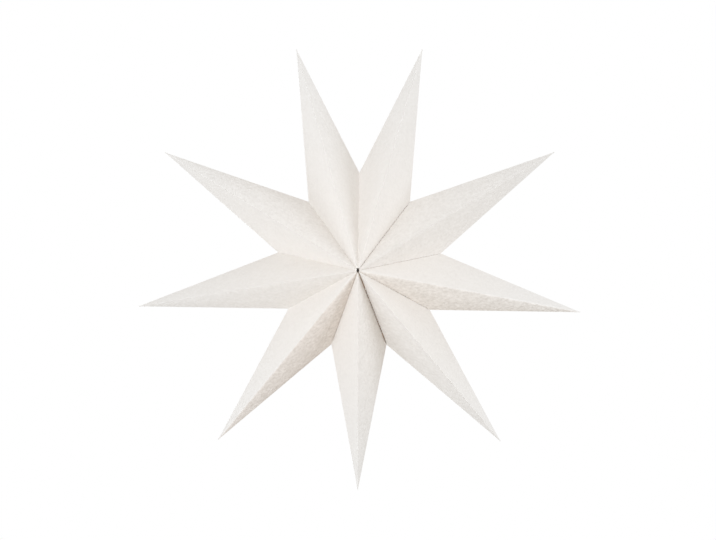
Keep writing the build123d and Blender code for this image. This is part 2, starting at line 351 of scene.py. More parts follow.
POINTS = range(1, 10)
TIPS = {p: place_of(f"crease_fold_{p}_left") for p in POINTS}
APEX = {"front": place_of("seam_fold")}
MIDDLE_Y = TIPS[1][1]
HUB = np.array([0.0, MIDDLE_Y, APEX["front"][2]])
APEX["rear"] = 2 * HUB - APEX["front"]


def notch_between(point):
    """Where the creases of this point and the next cross in the middle plane; 0 and 9 are the seam."""
    if point in (0, 9):
        fold = "crease_fold_1_left" if point == 0 else "crease_fold_9_right"
        tip, line = place_of(fold), line_of(fold)
        return tip - line * tip[0] / line[0]
    first, second = f"crease_fold_{point}_right", f"crease_fold_{point + 1}_left"
    lines = np.array([line_of(first)[[0, 2]], -line_of(second)[[0, 2]]]).T
    reach = np.linalg.solve(lines, (place_of(second) - place_of(first))[[0, 2]])
    return place_of(first) + line_of(first) * reach[0]


NOTCHES = {p: notch_between(p) for p in range(10)}


def notch_of(point, side):
    return NOTCHES[point - 1] if side == "left" else NOTCHES[point]


def outward(point, face, side):
    apex = APEX[face]
    normal = unit(np.cross(TIPS[point] - apex, notch_of(point, side) - apex))
    return -normal if normal @ (HUB - apex) > 0 else normal


def across_seam(point, face, side):
    """The outward normal of the panel on the other side of this panel's valley."""
    neighbour = point - 1 if side == "left" else point + 1
    if neighbour in POINTS:
        return outward(neighbour, face, "right" if side == "left" else "left")
    return outward(point, face, side) * np.array([-1, 1, 1])


def panel_tree():
    """One paper panel as a closed skin, rounded at its ridge and rolled in at its valley."""
    w = Wiring("paper_panel")
    vectors = ("Apex", "Tip", "Notch", "Face Out", "Ridge In", "Seam Out", "Seam Side")
    apex, tip, notch, face_out, ridge_in, seam_out, seam_side = [w.asks(name, "Vector") for name in vectors]
    lengths = ("Length", "Notch Along", "Notch Across", "Hub Start", "Tip Width", "Thickness")
    length, notch_along, notch_across, hub_start, tip_width, thickness = [
        w.asks(name, "Float") for name in lengths
    ]
    ridges = ("Ridge Radius Hub", "Ridge Radius Tip", "Ridge Half Angle", "Bow")
    radius_hub, radius_tip, half_angle, bow = [w.asks(name, "Float") for name in ridges]
    seams = ("Seam Dip", "Seam Reach", "Seam Gap", "Seam Edge")
    dip, reach, gap, edge = [w.asks(name, "Float") for name in seams]
    cuts = ("Cut At", "Cut Slope", "Middle", "Face Sign")
    cut_at, cut_slope, middle, face_sign = [w.asks(name, "Float") for name in cuts]
    wave_height, wave_size, seed = [w.asks(name, "Float") for name in ("Wave Height", "Wave Size", "Seed")]
    rows_to_notch, rows, columns = [w.asks(name, "Int") for name in ("Rows To Notch", "Rows", "Columns")]
    turned = w.asks("Turned", "Bool")
    paper = w.asks("Paper", "Material")

    blank = w.sheet(rows, columns)
    spot = w.spot()
    u, v = w.add(spot["X"], 0.5), w.add(spot["Y"], 0.5)
    is_inner = w.less(spot["Z"], 0.0)

    # Along the ridge with a row on the notch, and across from ridge to edge, closer together at both
    share = w.div(rows_to_notch, rows)
    along = w.add(
        w.span(u, 0.0, share, hub_start, notch_along),
        w.span(u, share, 1.0, 0.0, w.sub(length, notch_along)),
    )
    to_valley = w.mul(along, w.div(notch_across, notch_along))
    to_crease = w.mul(w.sub(length, along), w.div(notch_across, w.sub(length, notch_along)))
    width = w.low(to_valley, w.high(to_crease, tip_width), w.sub(cut_at, w.mul(cut_slope, along)))
    spread = w.sub(v, w.mul(CROWDING, w.math("SINE", w.mul(v, 2 * pi))))
    across = w.mul(spread, width)

    # The flat panel
    to_tip, to_notch = w.vector("SUBTRACT", tip, apex), w.vector("SUBTRACT", notch, apex)
    notch_share = w.div(across, notch_across)
    tip_share = w.div(w.sub(along, w.mul(notch_share, notch_along)), length)
    flat = w.sum(apex, w.scaled(to_tip, tip_share), w.scaled(to_notch, notch_share))

    # The rounded strip beside the ridge
    free = w.span(w.div(along, length), ROUND_FROM, ROUND_TO, radius_hub, radius_tip)
    radius = w.low(free, w.mul(RIDGE_SHARE, width, w.math("TANGENT", half_angle)))
    strip = w.div(radius, w.math("TANGENT", half_angle))
    bend = w.sub(pi / 2, half_angle)
    turn = w.mul(bend, w.low(w.div(across, strip), 1.0))
    crown = w.div(w.math("SINE", w.sub(bend, turn)), w.math("SINE", bend))
    lean = w.div(w.math("SINE", turn), w.math("SINE", bend))
    out = w.sum(w.scaled(ridge_in, w.mul(crown, -1.0)), w.scaled(face_out, lean))
    on_ridge = w.sum(apex, w.scaled(to_tip, w.div(along, length)))
    centre = w.sum(on_ridge, w.scaled(ridge_in, w.div(radius, w.math("SINE", half_angle))))
    round_strip = w.sum(centre, w.scaled(out, radius))
    in_strip = w.less(across, strip)
    outer = w.choose(in_strip, flat, round_strip)

    # The sheet bowed out between them
    held = w.div(across, width)
    bowed = w.mul(bow, width, 4.0, held, w.sub(1.0, held))
    outer = w.sum(outer, w.scaled(face_out, bowed))

    # Distance from the valley, and the edge rolled in along it
    valley_length = w.hypotenuse(notch_along, notch_across)
    valley_cos, valley_sin = w.div(notch_along, valley_length), w.div(notch_across, valley_length)
    down_valley = w.add(w.mul(along, valley_cos), w.mul(across, valley_sin))
    off_valley = w.sub(w.mul(along, valley_sin), w.mul(across, valley_cos))
    past_notch = w.high(w.sub(down_valley, valley_length), 0.0)
    from_seam = w.hypotenuse(off_valley, past_notch)
    before_notch = w.high(w.sub(valley_length, down_valley), 0.0)
    rolls = w.inside(before_notch, down_valley, ROLL_FROM_NOTCH, ROLL_FROM_HUB)
    off_ridge = w.span(held, 0.0, ROLL_OFF_RIDGE, 0.0, 1.0)
    rolled = w.mul(dip, w.fades(from_seam, reach), rolls, off_ridge)
    opens = w.inside(before_notch, down_valley, GAP_FROM_NOTCH, GAP_FROM_HUB)
    opened = w.mul(gap, 0.5, w.fades(from_seam, edge), opens)
    shaped = w.sum(outer, w.scaled(seam_out, w.mul(rolled, -1.0)), w.scaled(seam_side, opened))

    # Slow waves of the sheet, still at its edges
    noise = w.node("ShaderNodeTexNoise", noise_dimensions="4D", normalize=True)
    w.set(noise.inputs["Vector"], flat)
    w.set(noise.inputs["W"], seed)
    w.set(noise.inputs["Scale"], w.div(1.0, wave_size))
    w.set(noise.inputs["Detail"], WAVE_DETAIL)
    from_crease = w.sub(to_crease, across)
    clear = w.low(from_seam, w.high(w.sub(across, strip), 0.0), w.high(from_crease, 0.0))
    still = w.span(clear, 0.0, WAVE_STILL, 0.0, 1.0)
    wave = w.mul(w.sub(noise.outputs[0], 0.5), wave_height, still)
    shaped = w.sum(shaped, w.scaled(face_out, wave))

    # The inner side, never past the middle plane
    local = w.mul(thickness, w.low(w.div(width, THINNED_BELOW), 1.0))
    out_here = w.choose(in_strip, face_out, out)
    inner = w.parts(w.sum(shaped, w.scaled(out_here, w.mul(local, -1.0))))
    kept_y = w.add(middle, w.mul(face_sign, w.high(w.mul(face_sign, w.sub(inner["Y"], middle)), 0.0)))
    inner = w.join(inner["X"], kept_y, inner["Z"])
    skin = w.placed(blank, w.choose(is_inner, shaped, inner))
    return w.finished("Skin", w.smooth(w.flipped(skin, turned)), paper)


def tie_tree():
    """Paper ties across a valley, one every pitch, that the stitched dots of the glued seam leave."""
    w = Wiring("seam_ties")
    start, end, lift = [w.asks(name, "Vector") for name in ("Start", "End", "Lift")]
    pitch, size = w.asks("Pitch", "Float"), w.asks("Tie Size", "Vector")
    seed = w.asks("Seed", "Int")
    paper = w.asks("Paper", "Material")
    line = w.node("GeometryNodeCurvePrimitiveLine", {"Start": start, "End": end})
    places = w.node("GeometryNodeResampleCurve", {"Curve": line.outputs[0]}, mode="LENGTH")
    w.set(places.inputs["Length"], pitch)
    tie = w.node("GeometryNodeMeshCube", {"Size": size, "Vertices X": 3, "Vertices Y": 2, "Vertices Z": 2})
    facing = w.node("FunctionNodeAxesToRotation", primary_axis="X", secondary_axis="Z")
    w.set(facing.inputs[0], w.vector("SUBTRACT", end, start))
    w.set(facing.inputs[1], lift)
    uneven = w.node("FunctionNodeRandomValue", {"Seed": seed}, data_type="FLOAT")
    w.set(uneven.inputs["Min"], TIE_SHORTEST)
    w.set(uneven.inputs["Max"], TIE_LONGEST)
    ties = w.node(
        "GeometryNodeInstanceOnPoints",
        {"Points": places.outputs[0], "Instance": tie.outputs["Mesh"], "Rotation": facing.outputs[0]},
    )
    random_value = [o for o in uneven.outputs if o.enabled][0]
    w.set(ties.inputs["Scale"], w.join(random_value, 1.0, 1.0))
    return w.finished("Ties", ties.outputs[0], paper)


def gusset_tree():
    """A strip of paper glued behind both edges of a valley, folded inwards between them."""
    w = Wiring("valley_gusset")
    vectors = ("Apex", "Notch", "Lift", "Way Before", "Way After")
    apex, notch, lift, way_before, way_after = [w.asks(name, "Vector") for name in vectors]
    lengths = ("Length", "Half Width", "Thickness", "Below", "Groove")
    length, half_width, thickness, below, groove = [w.asks(name, "Float") for name in lengths]
    seams = ("Dip", "Reach Before", "Reach After")
    dip, reach_before, reach_after = [w.asks(name, "Float") for name in seams]
    rows, columns = w.asks("Rows", "Int"), w.asks("Columns", "Int")
    turned = w.asks("Turned", "Bool")
    paper = w.asks("Paper", "Material")
    blank = w.sheet(rows, columns)
    spot = w.spot()
    down = w.mul(length, w.span(spot["X"], -0.5, 0.5, GUSSET_FROM, GUSSET_TO))
    across = w.mul(spot["Y"], 2.0, w.low(half_width, w.mul(down, GUSSET_WIDENING)))
    off = w.math("ABSOLUTE", across)
    before = w.less(across, 0.0)
    way = w.choose(before, way_after, way_before)
    reach = w.choose(before, reach_after, reach_before, "FLOAT")
    rolls = w.inside(w.sub(length, down), down, ROLL_FROM_NOTCH, ROLL_FROM_HUB)
    rolled = w.mul(dip, w.fades(off, reach), rolls)
    fold = w.mul(groove, w.fades(w.mul(off, off), GROOVE_HALF_WIDTH ** 2))
    depth = w.add(rolled, below, fold, w.mul(thickness, w.less(spot["Z"], 0.0)))
    on_valley = w.sum(apex, w.scaled(w.vector("SUBTRACT", notch, apex), w.div(down, length)))
    strip = w.placed(blank, w.sum(on_valley, w.scaled(way, off), w.scaled(lift, w.mul(depth, -1.0))))
    return w.finished("Gusset", w.smooth(w.flipped(strip, turned)), paper)


def thread_tree():
    """A tube with a thread round the vertical axis, cut into its outside or rolled into its wall."""
    w = Wiring("threaded_tube")
    heights = ("Bottom", "Top", "Thread Bottom", "Thread Top")
    bottom, top, thread_bottom, thread_top = [w.asks(name, "Float") for name in heights]
    sizes = ("Outer Radius", "Inner Radius", "Pitch", "Depth", "Taper")
    outer_radius, inner_radius, pitch, depth, taper = [w.asks(name, "Float") for name in sizes]
    rolled, outer_share = w.asks("Rolled", "Float"), w.asks("Outer Share", "Float")
    rows, columns = w.asks("Rows", "Int"), w.asks("Columns", "Int")
    wall_metal = w.asks("Metal", "Material")
    sheet = w.node(
        "GeometryNodeMeshGrid",
        {"Size X": 1.0, "Size Y": 1.0, "Vertices X": w.add(columns, 1), "Vertices Y": w.add(rows, 1)},
    )
    spot = w.spot()
    angle = w.mul(w.add(spot["X"], 0.5), 2 * pi)

    # Once round the wall: up the outside, over the top, down the inside and under the bottom
    way = w.add(spot["Y"], 0.5)
    over, under = w.add(outer_share, RIM_SHARE), 1 - RIM_SHARE
    climb = w.sub(w.span(way, 0.0, outer_share, 0.0, 1.0), w.span(way, over, under, 0.0, 1.0))
    height = w.add(bottom, w.mul(w.sub(top, bottom), climb))
    outside = w.add(w.span(way, outer_share, over, 1.0, 0.0), w.span(way, under, 1.0, 0.0, 1.0))
    begins = w.span(height, thread_bottom, w.add(thread_bottom, RUN_OUT), 0.0, 1.0)
    ceases = w.span(height, w.sub(thread_top, RUN_OUT), thread_top, 1.0, 0.0)
    phase = w.sub(w.mul(2 * pi, w.div(height, pitch)), angle)
    groove = w.sub(0.5, w.mul(0.5, w.math("COSINE", phase)))
    drawn_in = w.mul(taper, w.span(height, w.sub(top, RUN_OUT), top, 0.0, 1.0))
    cut = w.add(w.mul(depth, groove, begins, ceases), drawn_in)
    cut = w.mul(cut, w.add(outside, w.mul(w.sub(1.0, outside), rolled)))
    radius = w.sub(w.add(inner_radius, w.mul(w.sub(outer_radius, inner_radius), outside)), cut)
    x, y = w.mul(radius, w.math("COSINE", angle)), w.mul(radius, w.math("SINE", angle))
    wall = w.placed(sheet.outputs["Mesh"], w.join(x, y, height))
    closed = w.node("GeometryNodeMergeByDistance", {"Geometry": wall, "Distance": SAME_PLACE})
    return w.finished("Tube", w.smooth(closed.outputs[0]), wall_metal)


# Finishes


def fleece_group():
    """Felted fibres of the paper: a height for the bump and a soft mottle for the tone."""
    w = Wiring("paper_fleece", "ShaderNodeTree")
    tuft_size = w.asks("Tuft Size", "Float", 4.2 * MM)
    fibre_size = w.asks("Fibre Size", "Float", 2.0 * MM)
    fibre_share = w.asks("Fibre Share", "Float", 0.25)
    fibre_bend = w.asks("Fibre Bend", "Float", 1.5 * MM)
    patch_size = w.asks("Patch Size", "Float", 14 * MM)
    patch_share = w.asks("Patch Share", "Float", 0.3)
    where = w.node("ShaderNodeTexCoord").outputs["Object"]
    tufts = w.noise(where, tuft_size, 0.8)
    bent = w.sum(where, w.scaled(tufts.outputs["Color"], fibre_bend))
    fibres = w.noise(bent, fibre_size, 1.0).outputs[0]
    height = w.add(w.mul(tufts.outputs[0], w.sub(1.0, fibre_share)), w.mul(fibres, fibre_share))
    w.gives("Height", "Float", height)
    patches = w.noise(where, patch_size, 2.0).outputs[0]
    mottle = w.add(w.mul(patches, patch_share), w.mul(height, w.sub(1.0, patch_share)))
    w.gives("Mottle", "Float", mottle)
    return w.tree


def wear_group():
    """Handling of a hard surface: fine streaks along one direction, and slow smudges."""
    w = Wiring("handling_wear", "ShaderNodeTree")
    streak_size = w.asks("Streak Size", "Float", 0.5 * MM)
    stretch = w.asks("Stretch", "Vector", (1, 1, 1))
    smudge_size = w.asks("Smudge Size", "Float", 9 * MM)
    where = w.node("ShaderNodeTexCoord").outputs["Object"]
    streaks = w.noise(w.vector("MULTIPLY", where, stretch), streak_size, 3.0).outputs[0]
    smudges = w.noise(where, smudge_size, 4.0).outputs[0]
    w.gives("Streaks", "Float", streaks)
    w.gives("Smudges", "Float", smudges)
    w.gives("Both", "Float", w.add(w.mul(streaks, 0.5), w.mul(smudges, 0.5)))
    return w.tree


FLEECE = fleece_group()
WEAR = wear_group()
# Most of a noise lies between these
NOISE_LOW, NOISE_HIGH = 0.3, 0.7


class Finish:
    """A material around one Principled BSDF."""

    def __init__(self, name, **constants):
        self.material = bpy.data.materials.new(name)
        self.material.use_nodes = True
        self.tree = self.material.node_tree
        self.shader = self.tree.nodes["Principled BSDF"]
        for key, value in constants.items():
            self.shader.inputs[key.replace("_", " ")].default_value = value

    def node(self, kind, inputs=None, **settings):
        made = self.tree.nodes.new(kind)
        for key, value in settings.items():
            setattr(made, key, value)
        for key, value in (inputs or {}).items():
            if isinstance(value, bpy.types.NodeSocket):
                self.tree.links.new(value, made.inputs[key])
            else:
                made.inputs[key].default_value = value
        return made

    def group(self, tree, **inputs):
        made = self.node("ShaderNodeGroup", node_tree=tree)
        for key, value in inputs.items():
            made.inputs[key.replace("_", " ")].default_value = value
        return made.outputs

    def between(self, amount, first, second):
        """A colour between two, by an amount that varies over the surface."""
        mix = self.node("ShaderNodeMix", data_type="RGBA")
        self.tree.links.new(amount, mix.inputs["Factor"])
        mix.inputs[6].default_value = (*first, 1)
        mix.inputs[7].default_value = (*second, 1)
        return mix.outputs[2]

    def feed(self, name, source):
        self.tree.links.new(source, self.shader.inputs[name])

    def level(self, amount, low, high):
        """A value that runs from low to high with a noise."""
        limits = {"From Min": NOISE_LOW, "From Max": NOISE_HIGH, "To Min": low, "To Max": high}
        return self.node("ShaderNodeMapRange", {"Value": amount, **limits}).outputs[0]

    def bump(self, height, strength, distance):
        made = self.node("ShaderNodeBump", {"Height": height, "Strength": strength, "Distance": distance})
        self.feed("Normal", made.outputs["Normal"])


# The paper at the tips between its fibres and on them, and the painted warm shade that it gets towards the
# hub
PAPER_DEEP = (0.822, 0.808, 0.785)
PAPER_LIGHT = (0.893, 0.883, 0.865)
HUB_PAINTED_WARMTH = (1.028, 0.998, 0.970)
# Painted warm shade of light bounced between the folds: full at this distance from the hub, gone at this
# one
PAINTED_WARMTH_FROM = 30 * MM
PAINTED_WARMTH_TO = 270 * MM
PAPER_RELIEF = 1.4 * MM
PAPER_BUMP = 0.7


def star_paper(name, felt, stain_and_shade=(1, 1, 1)):
    """The star's paper; felt says how strongly its fibres show, and the last colour multiplies its tone, as
    glue stain and as painted shade.
    """
    paper = Finish(name, Roughness=0.9, Specular_IOR_Level=0.2)
    fleece = paper.group(FLEECE)
    light, deep = np.array(PAPER_LIGHT) * stain_and_shade, np.array(PAPER_DEEP) * stain_and_shade
    middle, swing = (light + deep) / 2, (light - deep) / 2
    fibres = paper.level(fleece["Mottle"], 0.0, 1.0)
    tone = paper.between(fibres, middle - felt * swing, middle + felt * swing)
    # Painted warm shade near the hub, fading out towards the tips
    where = paper.node("ShaderNodeTexCoord").outputs["Object"]
    off_hub = paper.node("ShaderNodeVectorMath", {0: where, 1: tuple(HUB)}, operation="DISTANCE")
    limits = {"From Min": PAINTED_WARMTH_FROM, "From Max": PAINTED_WARMTH_TO}
    outwards = paper.node("ShaderNodeMapRange", {"Value": off_hub.outputs["Value"], **limits})
    tint = paper.between(outwards.outputs[0], HUB_PAINTED_WARMTH, (1, 1, 1))
    layers = {0: 1.0, 6: tone, 7: tint}
    tinted = paper.node("ShaderNodeMix", layers, data_type="RGBA", blend_type="MULTIPLY")
    paper.feed("Base Color", tinted.outputs[2])
    paper.bump(fleece["Height"], PAPER_BUMP, PAPER_RELIEF * felt ** 0.5)
    return paper.material


PAPER_SMOOTH = star_paper("star_paper_smooth", felt=0.55)
PAPER = star_paper("star_paper", felt=1.2)
PAPER_FELTED = star_paper("star_paper_felted", felt=3.0, stain_and_shade=(1.015, 0.998, 0.980))
# Panel 6's left face, painted darker and warmer as shade
PAPER_SHADED = star_paper("star_paper_shaded", felt=3.0, stain_and_shade=(0.980, 0.945, 0.920))
# The strips behind the valleys: a glue stain, made browner as painted warm shade down in the valleys
PAPER_GLUED_AND_SHADED = star_paper("star_paper_glued", felt=1.2, stain_and_shade=(0.97, 0.82, 0.68))

# How much glossier and duller than its roughness a finish is in places, and the depth of its marks
METAL_GLOSSIER, METAL_DULLER = 0.08, 0.12
METAL_MARKS = 0.05 * MM
MOULDED_GLOSSIER, MOULDED_DULLER = 0.07, 0.10
MOULDED_MARKS = 0.08 * MM


def metal(name, light, dark, rough, streak_size, stretch, bump_strength=0.15):
    """A worked metal: streaks along one direction in its tone, gloss and relief."""
    finish = Finish(name, Metallic=1.0)
    wear = finish.group(WEAR, Streak_Size=streak_size, Stretch=stretch)
    finish.feed("Base Color", finish.between(wear["Both"], dark, light))
    gloss = finish.level(wear["Smudges"], rough - METAL_GLOSSIER, rough + METAL_DULLER)
    finish.feed("Roughness", gloss)
    finish.bump(wear["Streaks"], bump_strength, METAL_MARKS)
    return finish.material


def moulding(name, light, dark, rough, grain, bump_strength):
    """A moulded or fired piece: a fine grain and slow changes of gloss."""
    finish = Finish(name)
    wear = finish.group(WEAR, Streak_Size=grain)
    finish.feed("Base Color", finish.between(wear["Both"], dark, light))
    gloss = finish.level(wear["Smudges"], rough - MOULDED_GLOSSIER, rough + MOULDED_DULLER)
    finish.feed("Roughness", gloss)
    finish.bump(wear["Streaks"], bump_strength, MOULDED_MARKS)
    return finish.material


def tape(name, light, dark, cell, height):
    """Fastening tape: rows of small hooks, or a mat of loops."""
    finish = Finish(name, Roughness=0.75)
    where = finish.node("ShaderNodeTexCoord").outputs["Object"]
    cells = finish.node("ShaderNodeTexVoronoi", {"Vector": where, "Scale": 1 / cell, "Randomness": 0.35})
    finish.feed("Base Color", finish.between(cells.outputs["Distance"], light, dark))
    finish.bump(cells.outputs["Distance"], strength=0.9, distance=height)
    return finish.material


def clear_glass(name, tint, smear):
    """Clear glass with faint smears in its gloss."""
    finish = Finish(name, IOR=1.5, Transmission_Weight=1.0)
    wear = finish.group(WEAR, Streak_Size=3 * MM, Smudge_Size=16 * MM)
    finish.feed("Base Color", finish.between(wear["Smudges"], tint, (1, 1, 1)))
    finish.feed("Roughness", finish.level(wear["Both"], 0.0, smear))
    return finish.material


# Each finish: light and dark tone, roughness, size of its marks, and how far a metal's are stretched
ZINC = metal("zinc_strip", (0.70, 0.71, 0.73), (0.50, 0.51, 0.53), 0.36, 0.5 * MM, (1, 0.06, 0.06))
ZINC_NUT = metal("zinc_nut", (0.70, 0.71, 0.73), (0.52, 0.53, 0.55), 0.30, 0.8 * MM, (1, 1, 0.3))
ZINC_THREAD = metal("zinc_thread", (0.66, 0.67, 0.69), (0.46, 0.47, 0.49), 0.34, 0.4 * MM, (1, 1, 1))
BRASS = metal("brass_contact", (0.83, 0.66, 0.36), (0.62, 0.46, 0.22), 0.28, 0.6 * MM, (1, 1, 0.2))
CAP_METAL = metal("bulb_cap_metal", (0.80, 0.80, 0.81), (0.62, 0.62, 0.64), 0.26, 0.5 * MM, (0.3, 0.3, 2))
SOLDER = metal("solder_bead", (0.66, 0.66, 0.67), (0.42, 0.42, 0.44), 0.42, 0.7 * MM, (1, 1, 1), 0.4)
HOLDER_PLASTIC = moulding("holder_plastic", (0.83, 0.82, 0.79), (0.76, 0.75, 0.72), 0.38, 0.35 * MM, 0.12)
STEATITE = moulding("steatite_block", (0.80, 0.77, 0.70), (0.68, 0.65, 0.58), 0.62, 0.6 * MM, 0.35)
BLACK_GLASS = moulding("black_insulator", (0.03, 0.03, 0.035), (0.012, 0.012, 0.014), 0.16, 1.2 * MM, 0.06)
PHOSPHOR = moulding("filament_phosphor", (0.90, 0.70, 0.22), (0.80, 0.56, 0.12), 0.55, 0.3 * MM, 0.4)
HOOK_TAPE = tape("hook_tape", (0.84, 0.84, 0.81), (0.58, 0.58, 0.56), 0.9 * MM, 0.5 * MM)
LOOP_TAPE = tape("loop_tape", (0.87, 0.87, 0.85), (0.66, 0.66, 0.64), 0.6 * MM, 0.3 * MM)
BULB_GLASS = clear_glass("bulb_glass", (0.97, 0.98, 0.98), 0.02)
STEM_GLASS = clear_glass("stem_glass", (0.92, 0.95, 0.94), 0.12)

# The thirty-six panels
PANEL = panel_tree()


def hole_towards(tip, face):
    """How far the hole at the hub reaches towards a tip: a tall oval in front, and hardly open behind."""
    if face == "rear":
        return REAR_HUB_HOLE
    way = unit((tip - HUB)[[0, 2]])
    return 1 / np.hypot(way[0] / HUB_HOLE_HALF_WIDTH, way[1] / HUB_HOLE_HALF_HEIGHT)


def paper_of(point, face, side):
    """The paper of one panel, by how strongly its fibres show, and with painted shade on one front panel.
    """
    if face == "front" and (point, side) in SHADED:
        return PAPER_SHADED
    if face == "front" and (point, side) in FELTED:
        return PAPER_FELTED
    return PAPER if face == "rear" or (point, side) in ROUGH else PAPER_SMOOTH


def cord_cut(tip, notch, apex, ridge, side_way):
    """The line that cuts off a rear panel's corner at the seam: its width at the apex, and its slope."""
    on_crease = tip + (notch - tip) * (1 - CORD_SLIT_HALF_WIDTH / abs(tip[0]))
    on_seam = notch + (apex - notch) * (CORD_SLIT_LENGTH / (apex[1] - notch[1]))
    first = ((on_crease - apex) @ ridge, (on_crease - apex) @ side_way)
    second = ((on_seam - apex) @ ridge, (on_seam - apex) @ side_way)
    slope = (second[1] - first[1]) / (first[0] - second[0])
    return first[1] + slope * first[0], slope


def panel_values(point, face, side):
    """The panel tree's inputs for one panel."""
    apex, tip, notch = APEX[face], TIPS[point], notch_of(point, side)
    normal = outward(point, face, side)
    other = outward(point, face, "right" if side == "left" else "left")
    beyond = across_seam(point, face, side)
    length = np.linalg.norm(tip - apex)
    ridge = (tip - apex) / length
    notch_along = (notch - apex) @ ridge
    off_ridge = notch - apex - notch_along * ridge
    notch_across = np.linalg.norm(off_ridge)
    side_way = off_ridge / notch_across
    ridge_in = -unit(normal + other)
    seam_side = unit(normal - beyond)
    seam_side = -seam_side if seam_side @ (tip - apex) < 0 else seam_side
    seam = point - 1 if side == "left" else point
    dip, reach_before, reach_after, gap = FRONT_SEAMS[seam % 9] if face == "front" else REAR_SEAM
    reach = reach_after if side == "left" else reach_before
    cut_at, cut_slope = NO_CUT
    if face == "rear" and seam % 9 == 0:
        cut_at, cut_slope = cord_cut(tip, notch, apex, ridge, side_way)
    hub_start = hole_towards(tip, face) * length / np.linalg.norm((tip - apex)[[0, 2]])
    radius_hub, radius_tip = RIDGE_RADIUS_HUB, RIDGE_RADIUS_TIP
    if face == "front" and point in SOFT_RIDGES:
        radius_hub, radius_tip = SOFT_RADIUS_HUB, SOFT_RADIUS_TIP
    return {
        "Apex": apex, "Tip": tip, "Notch": notch, "Face Out": normal, "Ridge In": ridge_in,
        "Seam Out": unit(normal + beyond), "Seam Side": seam_side,
        "Length": length, "Notch Along": notch_along, "Notch Across": notch_across,
        "Hub Start": hub_start, "Tip Width": TIP_HALF_WIDTH, "Thickness": PAPER_THICKNESS,
        "Ridge Radius Hub": radius_hub, "Ridge Radius Tip": radius_tip,
        "Ridge Half Angle": float(np.arccos(ridge_in @ side_way)),
        "Bow": ROUNDER.get((point, side), PANEL_BOW) if face == "front" else PANEL_BOW,
        "Seam Dip": dip * MM, "Seam Reach": reach * MM, "Seam Gap": gap * MM, "Seam Edge": SEAM_EDGE,
        "Cut At": cut_at, "Cut Slope": cut_slope,
        "Middle": MIDDLE_Y, "Face Sign": -1.0 if face == "front" else 1.0,
        "Wave Height": WAVE_HEIGHT, "Wave Size": WAVE_SIZE, "Seed": PANEL_SEED,
        "Rows To Notch": ROWS_TO_NOTCH, "Rows": ROWS, "Columns": COLUMNS,
        "Turned": bool(np.cross(ridge, side_way) @ normal < 0), "Paper": paper_of(point, face, side),
    }


def plain(values):
    """The same inputs as plain numbers."""
    made = {}
    for key, value in values.items():
        if isinstance(value, np.ndarray):
            value = [float(part) for part in value]
        elif isinstance(value, np.floating):
            value = float(value)
        made[key] = value
    return made


def ridge_bend(point):
    """The two front panels of a point and the line over which the paper turns at their ridge."""
    left, right = outward(point, "front", "left"), outward(point, "front", "right")
    half = unit(right - left) * RIDGE_BEND
    bodies = f"point_{point}_front_left", f"point_{point}_front_right"
    return *bodies, tuple(APEX["front"] - half), tuple(APEX["front"] + half)


def valley_bend(seam):
    """The same for the two front panels that meet at a valley."""
    before, after = outward(seam, "front", "right"), outward(seam + 1, "front", "left")
    half = unit(before - after) * VALLEY_BEND
    bodies = f"point_{seam}_front_right", f"point_{seam + 1}_front_left"
    return *bodies, tuple(APEX["front"] - half), tuple(APEX["front"] + half)


for point in POINTS:
    for face in ("front", "rear"):
        for side in ("left", "right"):
            node = f"point_{point}_{face}_{side}"
            mesh = mesh_of(PANEL, f"{node}_paper", plain(panel_values(point, face, side)))
            mesh.set_sharp_from_angle(angle=SHARP_EDGE)
            bends = ridge_bend(point) if face == "front" else None
            piece(f"{node}_paper", mesh, node, "paper", node, bends=bends)

# The glued valleys: ties across, and a strip behind
TIES = tie_tree()
GUSSET = gusset_tree()


def tie_values(seam):
    """The tie tree's inputs for one valley."""
    dip, reach_before, reach_after, gap = FRONT_SEAMS[seam]
    apex, notch = APEX["front"], NOTCHES[seam]
    lift = unit(outward(seam, "front", "right") + outward(seam + 1, "front", "left"))
    sink = lift * (dip * MM + TIE_SINK)
    return {
        "Start": apex + (notch - apex) * (TIES_FROM + TIES_LATER * dip) - sink,
        "End": apex + (notch - apex) * (TIES_TO - TIES_SOONER * dip) - sink,
        "Lift": lift, "Pitch": TIE_PITCH,
        "Tie Size": [TIE_LENGTH, gap * MM + TIE_OVERLAP, TIE_THICKNESS],
        "Seed": seam, "Paper": PAPER_SMOOTH,
    }


def gusset_values(seam):
    """The gusset tree's inputs for one valley."""
    dip, reach_before, reach_after, gap = FRONT_SEAMS[seam]
    before, after = outward(seam, "front", "right"), outward(seam + 1, "front", "left")
    apex, notch = APEX["front"], NOTCHES[seam]
    lift = unit(before + after)
    down = unit(notch - apex)
    way_before, way_after = unit(np.cross(before, down)), unit(np.cross(after, down))
    way_before = way_before if way_before @ (TIPS[seam] - apex) > 0 else -way_before
    way_after = way_after if way_after @ (TIPS[seam + 1] - apex) > 0 else -way_after
    return {
        "Apex": apex, "Notch": notch, "Lift": lift, "Way Before": way_before, "Way After": way_after,
        "Length": np.linalg.norm(notch - apex), "Half Width": GUSSET_HALF_WIDTH,
        "Thickness": GUSSET_THICKNESS, "Below": GUSSET_BELOW,
        "Groove": min(GROOVE_DEEPEST, GROOVE_PER_GAP * gap * MM), "Dip": dip * MM,
        "Reach Before": reach_before * MM, "Reach After": reach_after * MM,
        "Rows": GUSSET_ROWS, "Columns": GUSSET_COLUMNS,
        "Turned": bool(np.cross(down, way_after - way_before) @ lift < 0), "Paper": PAPER_GLUED_AND_SHADED,
    }


for seam in range(1, 9):
    bends = valley_bend(seam)
    mesh = mesh_of(TIES, f"seam_{seam}_ties", plain(tie_values(seam)))
    piece(f"seam_{seam}_ties", mesh, None, "paper", bends=bends)
    mesh = mesh_of(GUSSET, f"seam_{seam}_gusset", plain(gusset_values(seam)))
    piece(f"seam_{seam}_gusset", mesh, None, "paper", bends=bends)

